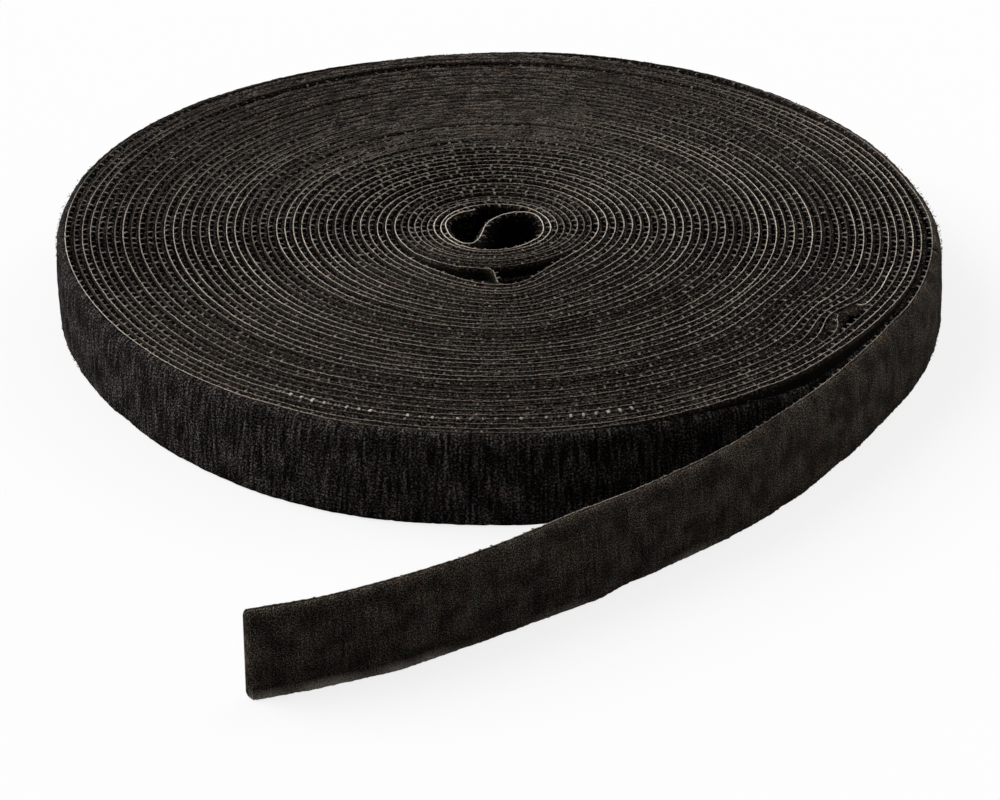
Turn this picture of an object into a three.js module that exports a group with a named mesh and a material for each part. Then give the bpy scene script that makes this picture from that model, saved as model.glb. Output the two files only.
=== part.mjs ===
// A roll of back-to-back hook and loop tape, in millimetres, with +Z up.
// The origin is on the axis of the roll, at the level of the surface that it lies on.
// Seen from above, the tape is wound clockwise from the centre out, with its hooks facing the centre.
// A turn of this winding stands for two wraps of the real tape, and its first and last turns for one.
import * as THREE from 'three';

// The tape
const tapeWidth = 19;
const tapeThickness = 1.8;
const hookRibbonThickness = 1;
const pileMargin = 0.25;
const endCornerRadius = 2;

// The winding
const boreRadius = 10.2;
const rollRadius = 95;
const turnGap = 0.47;
const wrapsPerTurn = 2;
const stepsPerTurn = 22;

// Where the strips begin and end, in turns from where the tape first lies on the bore, at the left
const boreStartAngle = Math.PI;
const innerStripTurns = 2.76;
const middleStripTurns = 20.58;
const peelTurns = 23.57;
const spliceGap = 0.5;

// The short end at the centre crosses the bore in an S, and its tip lies up the right wall of the bore
const coreStepLength = 2.6;
const coreLineShares = [
  [0.745, -0.6], [0.885, -0.295], [0.92, 0.04], [0.845, 0.43], [0.6, 0.7], [0.33, 0.72], [0.1, 0.53],
  [-0.155, 0.155], [-0.285, -0.255], [-0.41, -0.61], [-0.6, -0.755], [-0.87, -0.55], [-1.01, -0.215],
];

// The stub is the middle strip's inner end, bent outwards, which props up the turns outside it
const propHeight = 4.9;
const propHalfAngle = THREE.MathUtils.degToRad(28);
const propFadeTurns = 9.5;
const stubClearance = 0.85;
const stubLean = 0.7;
const stubThickeningTurns = 0.12;

// The tail leaves the roll along its tangent, and then bends in an arc that is flatter than the roll
const tailLength = 183;
const tailStraightLength = 8;
const tailBendRadius = 208;
const tailStepLength = 14;
const hingeGap = 0.3;

const colours = { hookRibbon: 0x2b2724, loopFabric: 0x17151a };

// One wrap of the wound tape, with and without the gap that lies over it
const wrapPitch = (rollRadius - boreRadius + turnGap) / (wrapsPerTurn * (peelTurns - 1) + 1);
const wrapThickness = wrapPitch - turnGap;
const fullTurn = 2 * Math.PI;

// The direction, from the axis, in which the winding lies after so many turns
function rayAt(turn) {
  const angle = boreStartAngle - fullTurn * turn;
  return new THREE.Vector2(Math.cos(angle), Math.sin(angle));
}

// The direction in which the tape runs there
function alongAt(turn) {
  const ray = rayAt(turn);
  return new THREE.Vector2(ray.y, -ray.x);
}

// How far the stub lifts a turn outside it: most on the stub's own ray, and less with each turn outwards
function propLift(turn) {
  const turnsFromStub = turn - innerStripTurns;
  if (turnsFromStub < 1 / 2) return 0;
  const aside = (turnsFromStub - Math.round(turnsFromStub)) * fullTurn;
  return propHeight * Math.exp((1 - turnsFromStub) / propFadeTurns - (aside / propHalfAngle) ** 2);
}

// The radius of the hook tips: the first and last turns rise by one wrap, and the others by wrapsPerTurn
function hookRadius(turn) {
  const first = Math.min(turn, 1);
  const middle = Math.min(Math.max(turn - 1, 0), peelTurns - 2);
  const last = Math.max(turn - (peelTurns - 1), 0);
  return boreRadius + wrapPitch * (first + wrapsPerTurn * middle + last) + propLift(turn);
}

// The thickness of a turn is what the next one leaves, up to its full count of wraps
function turnThickness(turn) {
  if (turn > peelTurns - 1) return wrapThickness;
  const room = hookRadius(turn + 1) - hookRadius(turn) - turnGap;
  return Math.min(room, wrapsPerTurn * wrapPitch - turnGap);
}

// Past the stub, the middle strip thickens from one wrap
function thicknessPastStub(turn) {
  const share = (turn - stubTurns) / stubThickeningTurns;
  return share < 0 ? turnThickness(turn) : Math.min(turnThickness(turn), wrapThickness * (1 + share));
}

// A station is one cross-section of the tape: its hook side and its loop side in plan, and how far its
// two edges are drawn in at a rounded corner
function makeStation(hookSide, loopSide, drawnIn = 0) {
  return { hookSide, loopSide, drawnIn };
}

function rayStation(turn) {
  const ray = rayAt(turn);
  const inside = hookRadius(turn);
  const thickness = thicknessPastStub(turn);
  return makeStation(ray.clone().multiplyScalar(inside), ray.clone().multiplyScalar(inside + thickness));
}

// A strip that ends between two rays ends on the chord between them, so that its neighbours stay parallel
function windingStation(turn) {
  const rays = turn * stepsPerTurn;
  const near = rayStation(Math.floor(rays) / stepsPerTurn);
  const far = rayStation(Math.ceil(rays) / stepsPerTurn);
  const share = rays - Math.floor(rays);
  return makeStation(near.hookSide.lerp(far.hookSide, share), near.loopSide.lerp(far.loopSide, share));
}

function windingStations(firstTurn, lastTurn) {
  const stations = [windingStation(firstTurn)];
  for (let ray = Math.floor(firstTurn * stepsPerTurn) + 1; ray < lastTurn * stepsPerTurn; ray += 1) {
    stations.push(rayStation(ray / stepsPerTurn));
  }
  stations.push(windingStation(lastTurn));
  return stations;
}

// A station across a line in plan: the hooks are on the right of the way that the tape runs
function stationAcross(middle, along, hookDepth, loopDepth, drawnIn) {
  const right = new THREE.Vector2(along.y, -along.x).normalize();
  const hookSide = middle.clone().addScaledVector(right, hookDepth);
  const loopSide = middle.clone().addScaledVector(right, -loopDepth);
  return makeStation(hookSide, loopSide, drawnIn);
}

function middleOf(station) {
  return station.hookSide.clone().lerp(station.loopSide, 1 / 2);
}

function flatPoint(point) {
  return new THREE.Vector3(point.x, point.y, 0);
}

// The S across the bore, up to where the tape first lies on the bore
function coreStations() {
  const points = coreLineShares.map(([x, y]) => new THREE.Vector3(x * boreRadius, y * boreRadius, 0));
  points.push(flatPoint(middleOf(rayStation(0))));
  const line = new THREE.CatmullRomCurve3(points);
  const steps = Math.round(line.getLength() / coreStepLength);
  const stations = [];
  for (let step = 0; step < steps; step += 1) {
    const middle = line.getPointAt(step / steps);
    const along = line.getTangentAt(step / steps);
    stations.push(stationAcross(middle2(middle), middle2(along), wrapThickness / 2, wrapThickness / 2));
  }
  return stations;
}

function middle2(vector) {
  return new THREE.Vector2(vector.x, vector.y);
}

// The stub stands out from the bend at the middle strip's inner end to just under the turn that it props up
const stubTurns = innerStripTurns + (spliceGap + wrapThickness / 2) / (fullTurn * hookRadius(innerStripTurns));

function stubStations() {
  const out = rayAt(stubTurns);
  const along = alongAt(stubTurns);
  const half = wrapThickness / 2;
  const bendRadius = hookRadius(stubTurns) + half;
  const tipRadius = windingStation(stubTurns + 1).hookSide.length() - stubClearance;
  const stations = [];
  for (const share of [1, 0.6, 0.25]) {
    const radius = THREE.MathUtils.lerp(bendRadius, tipRadius, share);
    const middle = out.clone().multiplyScalar(radius).addScaledVector(along, -stubLean * share ** 2);
    stations.push(stationAcross(middle, out.clone().negate(), half, half));
  }
  const bend = out.clone().multiplyScalar(bendRadius);
  const corner = out.clone().add(along).multiplyScalar(half);
  stations.push(makeStation(bend.clone().sub(corner), bend.clone().add(corner)));
  return stations;
}

// The tail ends square, with rounded corners
function tailStations(beforePeel, peel) {
  const startAlong = middleOf(peel).sub(middleOf(beforePeel)).normalize();
  const inward = new THREE.Vector2(startAlong.y, -startAlong.x);
  const start = middleOf(peel).addScaledVector(startAlong, hingeGap);
  const half = wrapThickness / 2;
  const bendStart = start.clone().addScaledVector(startAlong, tailStraightLength);
  const bendCentre = bendStart.clone().addScaledVector(inward, tailBendRadius);
  const place = (length, loopDepth, drawnIn) => {
    const turned = -(length - tailStraightLength) / tailBendRadius;
    const along = startAlong.clone().rotateAround(new THREE.Vector2(), turned);
    const middle = bendStart.clone().rotateAround(bendCentre, turned);
    return stationAcross(middle, along, half, loopDepth, drawnIn);
  };
  const stations = [stationAcross(start, startAlong, half, half)];
  const bentLength = tailLength - endCornerRadius - tailStraightLength;
  const steps = Math.round(bentLength / tailStepLength);
  const looseDepth = tapeThickness - half;
  for (let step = 0; step <= steps; step += 1) {
    stations.push(place(tailStraightLength + (bentLength * step) / steps, looseDepth));
  }
  for (const corner of [30, 60, 90].map(THREE.MathUtils.degToRad)) {
    const length = tailLength - endCornerRadius * (1 - Math.sin(corner));
    stations.push(place(length, looseDepth, endCornerRadius * (1 - Math.cos(corner))));
  }
  return stations;
}

// One web of the laminate: a closed solid between two shares of the thickness
function webGeometry(stations, firstShare, lastShare, margin) {
  const positions = [];
  for (const { hookSide, loopSide, drawnIn } of stations) {
    const near = hookSide.clone().lerp(loopSide, firstShare);
    const far = hookSide.clone().lerp(loopSide, lastShare);
    const low = margin + drawnIn;
    const high = tapeWidth - low;
    positions.push(near.x, near.y, low, far.x, far.y, low, far.x, far.y, high, near.x, near.y, high);
  }
  const faces = [0, 3, 2, 0, 2, 1];
  for (let index = 0; index + 1 < stations.length; index += 1) {
    for (let corner = 0; corner < 4; corner += 1) {
      const here = 4 * index;
      const next = here + 4;
      const other = (corner + 1) % 4;
      faces.push(here + corner, here + other, next + other, here + corner, next + other, next + corner);
    }
  }
  const last = 4 * (stations.length - 1);
  faces.push(last, last + 1, last + 2, last, last + 2, last + 3);
  const geometry = new THREE.BufferGeometry();
  geometry.setAttribute('position', new THREE.Float32BufferAttribute(positions, 3));
  geometry.setIndex(faces);
  geometry.computeVertexNormals();
  return geometry;
}

// The two webs of a strip: the hook ribbon on the inside, and the loop fabric on its back
function makeStrip(name, stations) {
  const strip = new THREE.Group();
  const hookShare = hookRibbonThickness / tapeThickness;
  const webs = [
    ['hook_ribbon', 0, hookShare, 0, colours.hookRibbon],
    ['loop_fabric', hookShare, 1, pileMargin, colours.loopFabric],
  ];
  for (const [web, firstShare, lastShare, margin, color] of webs) {
    const material = new THREE.MeshStandardMaterial({ color, roughness: 0.9, metalness: 0 });
    const mesh = new THREE.Mesh(webGeometry(stations, firstShare, lastShare, margin), material);
    mesh.name = `${name}_${web}`;
    strip.add(mesh);
  }
  return strip;
}

// The least distance between two stretches of a strip that are further apart along the tape than a bend
function leastGap(stations) {
  const separate = 8 * wrapThickness;
  const lengths = [0];
  for (let index = 1; index < stations.length; index += 1) {
    lengths.push(lengths[index - 1] + middleOf(stations[index]).distanceTo(middleOf(stations[index - 1])));
  }
  const segment = new THREE.Line3();
  const nearest = new THREE.Vector3();
  let least = Infinity;
  for (let here = 0; here < stations.length; here += 1) {
    const points = [flatPoint(stations[here].hookSide), flatPoint(stations[here].loopSide)];
    for (let there = 1; there < stations.length; there += 1) {
      const apart = Math.min(
        Math.abs(lengths[here] - lengths[there]),
        Math.abs(lengths[here] - lengths[there - 1]),
      );
      if (apart < separate) continue;
      for (const side of ['hookSide', 'loopSide']) {
        segment.set(flatPoint(stations[there - 1][side]), flatPoint(stations[there][side]));
        for (const point of points) {
          segment.closestPointToPoint(point, true, nearest);
          least = Math.min(least, nearest.distanceTo(point));
        }
      }
    }
  }
  return least;
}

const spliceTurns = spliceGap / (fullTurn * hookRadius(middleStripTurns));
const innerStations = [...coreStations(), ...windingStations(0, innerStripTurns)];
const firstRayPastStub = Math.ceil(stubTurns * stepsPerTurn + 1 / 2) / stepsPerTurn;
const middleStations = [...stubStations(), ...windingStations(firstRayPastStub, middleStripTurns)];
const outerStations = windingStations(middleStripTurns + spliceTurns, peelTurns);
const tail = tailStations(...outerStations.slice(-2));

const roll = new THREE.Group();
roll.add(makeStrip('inner_strip', innerStations));
roll.add(makeStrip('middle_strip', middleStations));
roll.add(makeStrip('outer_strip', outerStations));
roll.add(makeStrip('tail', tail));

const hinge = outerStations[outerStations.length - 1].loopSide;
console.log(`wrap pitch ${wrapPitch.toFixed(3)}, hinge at ${hinge.x.toFixed(2)}, ${hinge.y.toFixed(2)}`);
for (const [name, stations] of [['inner', innerStations], ['middle', middleStations], ['outer', outerStations]]) {
  console.log(`${name} strip: ${stations.length} stations, least gap to itself ${leastGap(stations).toFixed(3)}`);
}

export default roll;
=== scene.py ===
"""A roll of black hook and loop tape, one hook side laminated to one loop side, wound flat on itself in
three lengths, with its last stretch peeled off the roll and run out over the table."""

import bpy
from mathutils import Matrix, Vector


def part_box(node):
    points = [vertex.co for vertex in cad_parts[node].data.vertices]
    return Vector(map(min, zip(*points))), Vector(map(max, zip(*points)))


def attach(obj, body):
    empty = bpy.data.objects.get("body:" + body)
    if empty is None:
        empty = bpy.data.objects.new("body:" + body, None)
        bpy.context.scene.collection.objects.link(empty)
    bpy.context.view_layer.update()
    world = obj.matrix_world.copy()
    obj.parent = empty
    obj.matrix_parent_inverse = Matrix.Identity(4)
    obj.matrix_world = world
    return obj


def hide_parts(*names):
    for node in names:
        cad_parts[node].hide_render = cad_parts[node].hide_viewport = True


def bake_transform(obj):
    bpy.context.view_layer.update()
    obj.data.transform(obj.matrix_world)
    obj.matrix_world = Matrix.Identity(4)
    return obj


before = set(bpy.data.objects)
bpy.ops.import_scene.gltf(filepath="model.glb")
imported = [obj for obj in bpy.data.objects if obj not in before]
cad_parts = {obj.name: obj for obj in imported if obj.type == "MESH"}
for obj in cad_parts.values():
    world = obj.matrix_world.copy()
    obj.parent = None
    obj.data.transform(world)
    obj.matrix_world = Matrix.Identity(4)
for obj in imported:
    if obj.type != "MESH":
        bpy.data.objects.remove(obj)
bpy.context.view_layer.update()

import copy
import math

import bmesh
import bpy
import numpy as np

MM = 0.001

# Camera
# It looks down on the roll from the front, as the photograph does, from a little under a metre away.
# The roll's top plane and axis give the point that it is set against.
VIEW_ELEVATION = math.radians(25.87)
VIEW_DISTANCE = 0.865
FRAME_WIDTH_PX, FRAME_HEIGHT_PX = 1000, 800
AXIS_PX = (495.2, 224.0)
FOCAL_PX = 3967.0
SENSOR_WIDTH_MM = 36.0
roll_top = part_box("middle_strip_hook_ribbon")[1][2]


def new_object(name, data):
    """An object in the scene with a camera, a lamp or a mesh in it."""
    thing = bpy.data.objects.new(name, data)
    bpy.context.scene.collection.objects.link(thing)
    return thing


camera_data = bpy.data.cameras.new("camera")
camera_data.sensor_width = SENSOR_WIDTH_MM
camera_data.lens = FOCAL_PX * SENSOR_WIDTH_MM / FRAME_WIDTH_PX
camera = new_object("camera", camera_data)
camera.location = (
    0, -VIEW_DISTANCE * math.cos(VIEW_ELEVATION), roll_top + VIEW_DISTANCE * math.sin(VIEW_ELEVATION)
)
drop = math.atan((FRAME_HEIGHT_PX / 2 - AXIS_PX[1]) / FOCAL_PX)
turn = math.atan((FRAME_WIDTH_PX / 2 - AXIS_PX[0]) / FOCAL_PX)
camera.rotation_euler = (math.pi / 2 - VIEW_ELEVATION - drop, 0, -turn)
bpy.context.scene.camera = camera
bpy.context.scene.view_settings.view_transform = "Standard"


# Floor and light
# A wide sheet of white paper in a tent of white cloth that is open towards the camera: light comes from
# above, from both sides and from behind, most of it from the left, and the front stays dark.
def linear(hex_colour):
    """An sRGB colour such as #8c857b, as linear red, green, blue and alpha."""
    channels = [int(hex_colour[i : i + 2], 16) / 255 for i in (1, 3, 5)]
    return [c / 12.92 if c <= 0.04045 else ((c + 0.055) / 1.055) ** 2.4 for c in channels] + [1.0]


def add(tree, kind, links=(), **settings):
    """A node with its settings. A value for a socket can be another socket, or a node: its first output."""
    node = tree.nodes.new(kind)
    for name, value in settings.items():
        setattr(node, name, value)
    for socket, value in dict(links).items():
        if isinstance(value, bpy.types.Node):
            value = next(output for output in value.outputs if output.enabled)
        if isinstance(value, bpy.types.NodeSocket):
            tree.links.new(value, node.inputs[socket])
        else:
            node.inputs[socket].default_value = value
    return node


def new_material(name, roughness, specular):
    """A material with its node tree and its surface shader."""
    material = bpy.data.materials.new(name)
    material.use_nodes = True
    tree = material.node_tree
    tree.nodes.clear()
    shader = add(tree, "ShaderNodeBsdfPrincipled", {"Roughness": roughness, "Specular IOR Level": specular})
    add(tree, "ShaderNodeOutputMaterial", {"Surface": shader})
    return material, tree, shader


FLOOR_HALF_WIDTH, FLOOR_HEIGHT = 4.0, -0.0001
PAPER_SHOWN_WHITE = 0.82
# White paper, quite matte. To the camera it also glows, so that it shows as white as in the photograph.
paper, paper_tree, paper_shader = new_material("white matte paper", roughness=0.95, specular=0.1)
paper_path = add(paper_tree, "ShaderNodeLightPath")
paper_tone = add(
    paper_tree, "ShaderNodeMix", {"Factor": paper_path, "A": linear("#a8a8a8"), "B": linear("#ffffff")},
    data_type="RGBA",
)
paper_tree.links.new(paper_tone.outputs["Result"], paper_shader.inputs["Base Color"])
paper_white = add(paper_tree, "ShaderNodeEmission", {"Color": linear("#ffffff"), "Strength": 1.0})
shown = add(paper_tree, "ShaderNodeMath", {0: paper_path, 1: PAPER_SHOWN_WHITE}, operation="MULTIPLY")
paper_mix = add(paper_tree, "ShaderNodeMixShader", {0: shown, 1: paper_shader, 2: paper_white})
paper_tree.links.new(paper_mix.outputs[0], paper_tree.nodes["Material Output"].inputs["Surface"])
floor_mesh = bpy.data.meshes.new("floor")
corners = [(-1, -1), (1, -1), (1, 1), (-1, 1)]
corners = [(x * FLOOR_HALF_WIDTH, y * FLOOR_HALF_WIDTH, FLOOR_HEIGHT) for x, y in corners]
floor_mesh.from_pydata(corners, [], [(0, 1, 2, 3)])
floor_mesh.materials.append(paper)
floor = new_object("floor", floor_mesh)

# How strongly the cloth shines at the back and overhead, and how little comes from the open front
TENT, OPEN_FRONT = 0.56, 0.05
world = bpy.data.worlds.new("white cloth tent")
world.use_nodes = True
room = world.node_tree
room.nodes.clear()
direction = add(room, "ShaderNodeTexCoord").outputs["Generated"]
towards_back = add(room, "ShaderNodeSeparateXYZ", {0: direction}).outputs["Y"]
cloth = add(
    room, "ShaderNodeMapRange",
    {"Value": towards_back, "From Min": -0.8, "From Max": 0.4, "To Min": OPEN_FRONT, "To Max": TENT},
    interpolation_type="SMOOTHSTEP",
)
room_path = add(room, "ShaderNodeLightPath")
strength = add(room, "ShaderNodeMix", {0: room_path, 2: cloth, 3: 1.0}, data_type="FLOAT")
tent = add(room, "ShaderNodeBackground", {"Color": linear("#ffffff"), "Strength": strength})
add(room, "ShaderNodeOutputWorld", {"Surface": tent})
bpy.context.scene.world = world

# Each lamp: how strong, how wide its light, how far it is tipped from overhead and from which bearing
LAMPS = (("left lamp", 2.4, 50, 53, 165), ("right lamp", 0.6, 50, 58, 42))
for lamp_name, energy, width, tip, bearing in LAMPS:
    lamp_data = bpy.data.lights.new(lamp_name, "SUN")
    lamp_data.energy = energy
    lamp_data.angle = math.radians(width)
    lamp = new_object(lamp_name, lamp_data)
    lamp.rotation_euler = (0, math.radians(tip), math.radians(bearing))

# Inner length
# The first length of tape starts free in the left lobe of the bore, folds in an S across it and winds
# nearly eight times round, tighter and tighter pressed. Its outer end stops short at the stub.

# The whole tape is 1.8 mm thick and wound flat and tight on itself, clockwise from above, about 47
# times. A number of wraps tells a place on it: wrap 0 is at the left of the bore, and each wrap more
# is once round. The roll isn't round: the stub of the middle length props the wraps in front of the
# bore, the butted ends at the right front leave a dent, and hands have pressed flats into it.
WRAP_STATIONS = (0, 1, 2, 7, 8, 20, 28, 30, 36, 46, 46.9, 47, 47.1, 47.6)
RADIUS_AT_STATIONS = (10.6, 12, 13.5, 20.5, 22, 43.9, 58.4, 62.2, 73.8, 91.4, 93.0, 93.4, 94.2, 94.5)
INNER_SPLICE_WRAP = 7.75
MIDDLE_END_WRAP = 43.535
OUTER_START_WRAP = 43.612
PEEL_WRAP = 47.57
# Flats and bulges: bearing in degrees, half width, millimetres at the inner wraps and so many wraps out
PRESSED_WRAPS = 38
PRESSED = (
    (-120, 42, 0.7, 0.0), (-153, 20, 0.0, -0.9), (-68, 25, 0.3, -0.5), (52, 26, 0.1, -1.0),
    (-14, 24, -0.5, 0.1), (165, 22, 0.1, 0.6), (120, 24, -0.2, -0.4),
)
# The inner length is flattened in front, more and more towards the stub. The stub props the wraps over
# it, and beside it they are pulled tight: bearing and half widths, millimetres, fading over so many wraps
CORE_FLAT, CORE_FLAT_DEPTH = (-62, 45), 0.8
PROPPED, PROP_HEIGHT, PROP_WRAPS = (-86, 17, 27), 4.9, 12
TIGHT, TIGHT_DEPTH, TIGHT_WRAPS = (-42, 24), 1.5, 14
# Round the bore the wraps are also flat behind, most where they are a few wraps out, and at the right
BACK_FLAT, BACK_FLAT_DEPTH, BACK_FLAT_WRAPS = (90, 55), 0.5, (8, 16)
FLATTEST_WRAP, FLATTEST_WITHIN = 4.3, 2.5
RIGHT_FLAT, RIGHT_FLAT_DEPTH, RIGHT_FLAT_WRAPS = (0, 50), 0.6, (1, 9)
# The outer length lies slacker than the rest, its last wrap slacker still: bearing, half width, millimetres
SLACK_WRAPS = (41, 44)
SLACK = ((-108, 26, 1.0), (-74, 17, 1.3))
LOOSE_WRAP = 46.95
LOOSE = ((16, 16, -0.5), (60, 24, 1.5), (106, 20, -1.3), (0, 9, 0.4))
# The dent over the butted ends: deepest at a wrap, fading inwards, narrower there, and shallow further out
DENT_BEARING, DENT_WRAPS, DENT_DEEPEST_WRAP, DENT_DEPTH, DENT_FADE_WRAPS = -31.5, (30, 43.2), 42.6, 3.5, 11
SHALLOW_DENT_WRAPS, SHALLOW_DENT_DEPTH = (44, 47), 1.0
DENT_WIDTH_WRAPS, DENT_WIDTHS = (30, 39.6, 41.6, 42.6, 43.5), (14, 8.5, 7, 5.5, 12)
# Lines are worked out in many fine steps first
ROUGH_STEPS_PER_WRAP, FINE_STEPS = 720, 24


def bearing_of(wraps):
    """Degrees from the right-hand side, as seen from above."""
    return 180 - 360 * np.asarray(wraps, float)


def hump(bearing, centre, right_width, left_width=None):
    """1 at the centre bearing and falling to 0 on both sides of it."""
    off = (bearing - centre + 180) % 360 - 180
    width = right_width if left_width is None else np.where(off > 0, right_width, left_width)
    return np.exp(-((off / width) ** 2))


def fading(wraps, start, end):
    """1 up to the first wrap number and falling to 0 at the second."""
    return np.clip((end - wraps) / (end - start), 0, 1)


def wrap_radius(wraps):
    """Distance in millimetres from the roll's axis to the middle of the tape's backing."""
    wraps = np.asarray(wraps, float)
    bearing = bearing_of(wraps)
    radius = np.interp(wraps, WRAP_STATIONS, RADIUS_AT_STATIONS)
    inside = wraps < INNER_SPLICE_WRAP + 0.5
    core_flat = CORE_FLAT_DEPTH + (wraps / INNER_SPLICE_WRAP) ** 2
    radius = radius - inside * core_flat * hump(bearing, *CORE_FLAT)
    beyond = np.clip(wraps - INNER_SPLICE_WRAP - 1, 0, None)
    propped = PROP_HEIGHT * np.exp(-beyond / PROP_WRAPS) * hump(bearing, *PROPPED)
    tight_after = TIGHT_DEPTH * np.exp(-beyond / TIGHT_WRAPS) * hump(bearing, *TIGHT)
    radius = radius + ~inside * (propped - tight_after)
    flat_behind = BACK_FLAT_DEPTH + np.exp(-(((wraps - FLATTEST_WRAP) / FLATTEST_WITHIN) ** 2))
    radius = radius - flat_behind * hump(bearing, *BACK_FLAT) * fading(wraps, *BACK_FLAT_WRAPS)
    radius = radius - RIGHT_FLAT_DEPTH * hump(bearing, *RIGHT_FLAT) * fading(wraps, *RIGHT_FLAT_WRAPS)
    share = np.clip((wraps - INNER_SPLICE_WRAP - 1) / PRESSED_WRAPS, 0, 1)
    for centre, width, inner, outer in PRESSED:
        radius = radius + ~inside * (inner * (1 - share) + outer * share) * hump(bearing, centre, width)
    slack = np.clip((wraps - SLACK_WRAPS[0]) / (SLACK_WRAPS[1] - SLACK_WRAPS[0]), 0, 1)
    for centre, width, amount in SLACK:
        radius = radius + slack * amount * hump(bearing, centre, width)
    for centre, width, amount in LOOSE:
        radius = radius + (wraps > LOOSE_WRAP) * amount * hump(bearing, centre, width)
    under_splice = (wraps > DENT_WRAPS[0]) & (wraps < DENT_WRAPS[1])
    dent = DENT_DEPTH * np.exp(-np.clip(DENT_DEEPEST_WRAP - wraps, 0, None) / DENT_FADE_WRAPS) * under_splice
    over_splice = (wraps >= SHALLOW_DENT_WRAPS[0]) * (wraps < SHALLOW_DENT_WRAPS[1])
    dent = dent + SHALLOW_DENT_DEPTH * over_splice
    dent_width = np.interp(wraps, DENT_WIDTH_WRAPS, DENT_WIDTHS)
    return radius - dent * hump(bearing, DENT_BEARING, dent_width)


def distance_along(points):
    """Millimetres from the first point to each one."""
    return np.concatenate([[0], np.cumsum(np.linalg.norm(np.diff(points, axis=0), axis=1))])


def even_steps(points, step):
    """The line in even steps of about so many millimetres, how far along each is, and each given point."""
    length = distance_along(points)
    wanted = np.linspace(0, length[-1], max(2, int(round(length[-1] / step)) + 1))
    return np.stack([np.interp(wanted, length, points[:, i]) for i in (0, 1)], -1), wanted, length


def wrap_points(start, end, step):
    """Points along the winding, and the wrap number at each."""
    rough = np.linspace(start, end, max(3, int((end - start) * ROUGH_STEPS_PER_WRAP)))
    angle = np.radians(bearing_of(rough))
    radius = wrap_radius(rough)
    points = np.stack([radius * np.cos(angle), radius * np.sin(angle)], -1)
    line, wanted, length = even_steps(points, step)
    return line, np.interp(wanted, length, rough)


def smooth_line(points, step):
    """A smooth curve through the points, in even steps."""
    given = np.array(points, float)
    ends = np.vstack([2 * given[0] - given[1], given, 2 * given[-1] - given[-2]])
    share = np.linspace(0, 1, FINE_STEPS, endpoint=False)[:, None]
    fine = []
    for a, b, c, d in zip(ends, ends[1:], ends[2:], ends[3:]):
        square, cube = share**2, share**3
        bend, twist = 2 * a - 5 * b + 4 * c - d, 3 * b - a - 3 * c + d
        fine.append(0.5 * (2 * b + (c - a) * share + bend * square + twist * cube))
    return even_steps(np.vstack(fine + [given[-1:]]), step)[0]


def polar(bearing, radius):
    return (radius * math.cos(math.radians(bearing)), radius * math.sin(math.radians(bearing)))


# The tape is a 19 mm ground of knitted nylon, a quarter of a millimetre thick, with moulded hooks on the
# side that faces the bore and brushed loops on the other. The loops are pressed flat between wraps and
# stand up where nothing covers them. All sizes are in millimetres.
TAPE_WIDTH = 19.0
GROUND_THICKNESS = 0.22
HOOK_LENGTH = 0.85
LEAST_PILE, MOST_PRESSED_PILE, FREE_PILE, DEEPEST_PILE = 0.45, 1.4, 2.0, 2.1
PILE_RISES_OVER_WRAPS = 0.17
PRESSED_PILE_DROP, FREE_PILE_DROP = 0.5, 0.2
# The cut edges lie a little higher and lower from wrap to wrap and along each, and sink at the bore
BORE_SINK, BORE_SINK_WRAPS = 0.65, 5
WRAP_UNEVENNESS, MOST_PROUD, LIFT = 0.1, 0.25, 0.05
HEIGHT_WAVES = ((14, 0.07), (5, 0.04))
# How bright the painted highlight on them is goes in waves too: wave length and height
EDGE_HIGHLIGHT, EDGE_HIGHLIGHT_WAVES = 0.68, ((260, 0.24), (45, 0.16), (9, 0.1))
# At the roll's front and back loops have been brushed over the cut edges. At the back they have sprung up
# and hide the hooks as well: bearing, half width to the right and left, and how much. They start so far
# from the axis, and do so fully so much further on. The painted highlight on the cut edges is dimmed at
# the front and back, and more where loops hide the hooks: painted shade.
HIGHLIGHT_DIMMED_END_ON, HIGHLIGHT_DIMMED_COVERED = 0.4, 0.8
BRUSHED_FROM, COVERED_FROM = (30, 14), (48, 24)
BRUSHED_BACK = (90, 38, 66, 1.0)
BRUSHED_FRONT = (-92, 40, 40, 0.25)
SPRUNG_UP_DROP = -0.12
# At the left front they lie deeper than elsewhere: bearing, half width, millimetres
SUNK_LEFT_FRONT = (-148, 28, 0.75)


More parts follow.
